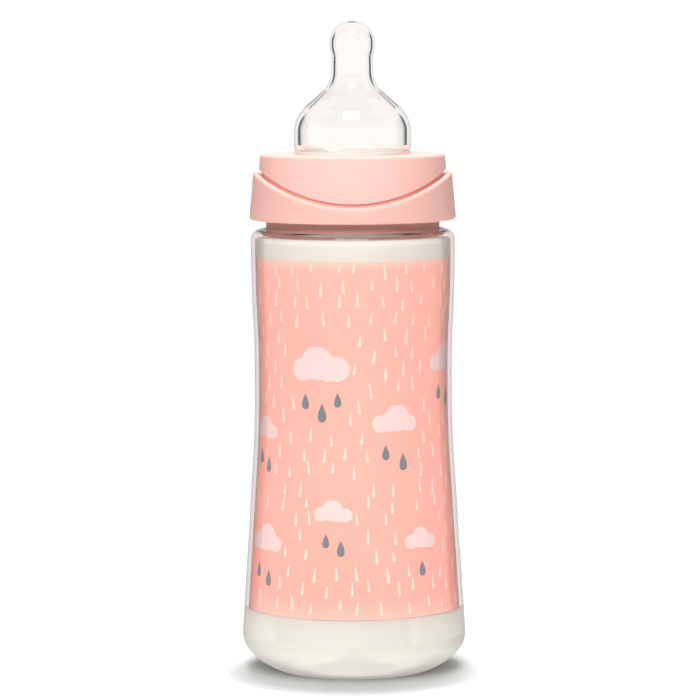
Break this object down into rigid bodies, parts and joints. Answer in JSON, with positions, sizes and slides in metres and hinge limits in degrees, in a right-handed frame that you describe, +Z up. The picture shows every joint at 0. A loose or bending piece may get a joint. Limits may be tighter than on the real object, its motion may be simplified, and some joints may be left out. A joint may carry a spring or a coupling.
{
  "type": "baby bottle",
  "caption": "Wide-neck feeding bottle: clear waisted shell over a printed sleeve and milky vessel, screw collar with a curved grip step, clear soft teat. Collar unscrews and lifts the teat.",
  "frame": {"origin": "centre of the foot ring, on the surface the bottle stands on", "axes": "+Z up along the bottle's axis to the nipple's tip, -Y towards the front, +X to the right seen from the front"},
  "size_m": [0.0694, 0.0694, 0.2004],
  "materials": {
    "clear_shell": "clear, polished",
    "pink_print": "printed, satin",
    "milky_vessel": "milky, translucent, smooth",
    "pink_collar": "moulded, semi-gloss",
    "clear_silicone": "clear silicone, smooth"
  },
  "bodies": {
    "bottle": {"outer_shell": "clear_shell", "printed_film": "pink_print", "inner_vessel": "milky_vessel"},
    "teat": {"teat": "clear_silicone"},
    "collar": {"screw_collar": "pink_collar"}
  },
  "joints": [
    {"name": "teat_lift", "type": "slide", "parent": "bottle", "child": "teat", "axis": [0, 0, 1], "range_m": [0, 0.0075]},
    {"name": "collar_turn", "type": "hinge", "parent": "teat", "child": "collar", "pos_m": [0, 0, 0.1496], "axis": [0, 0, 1], "range_deg": [0, 540]}
  ],
  "couplings": [
    {"joint": "teat_lift", "follows": "collar_turn", "m_per_rad": 0.00079577}
  ]
}
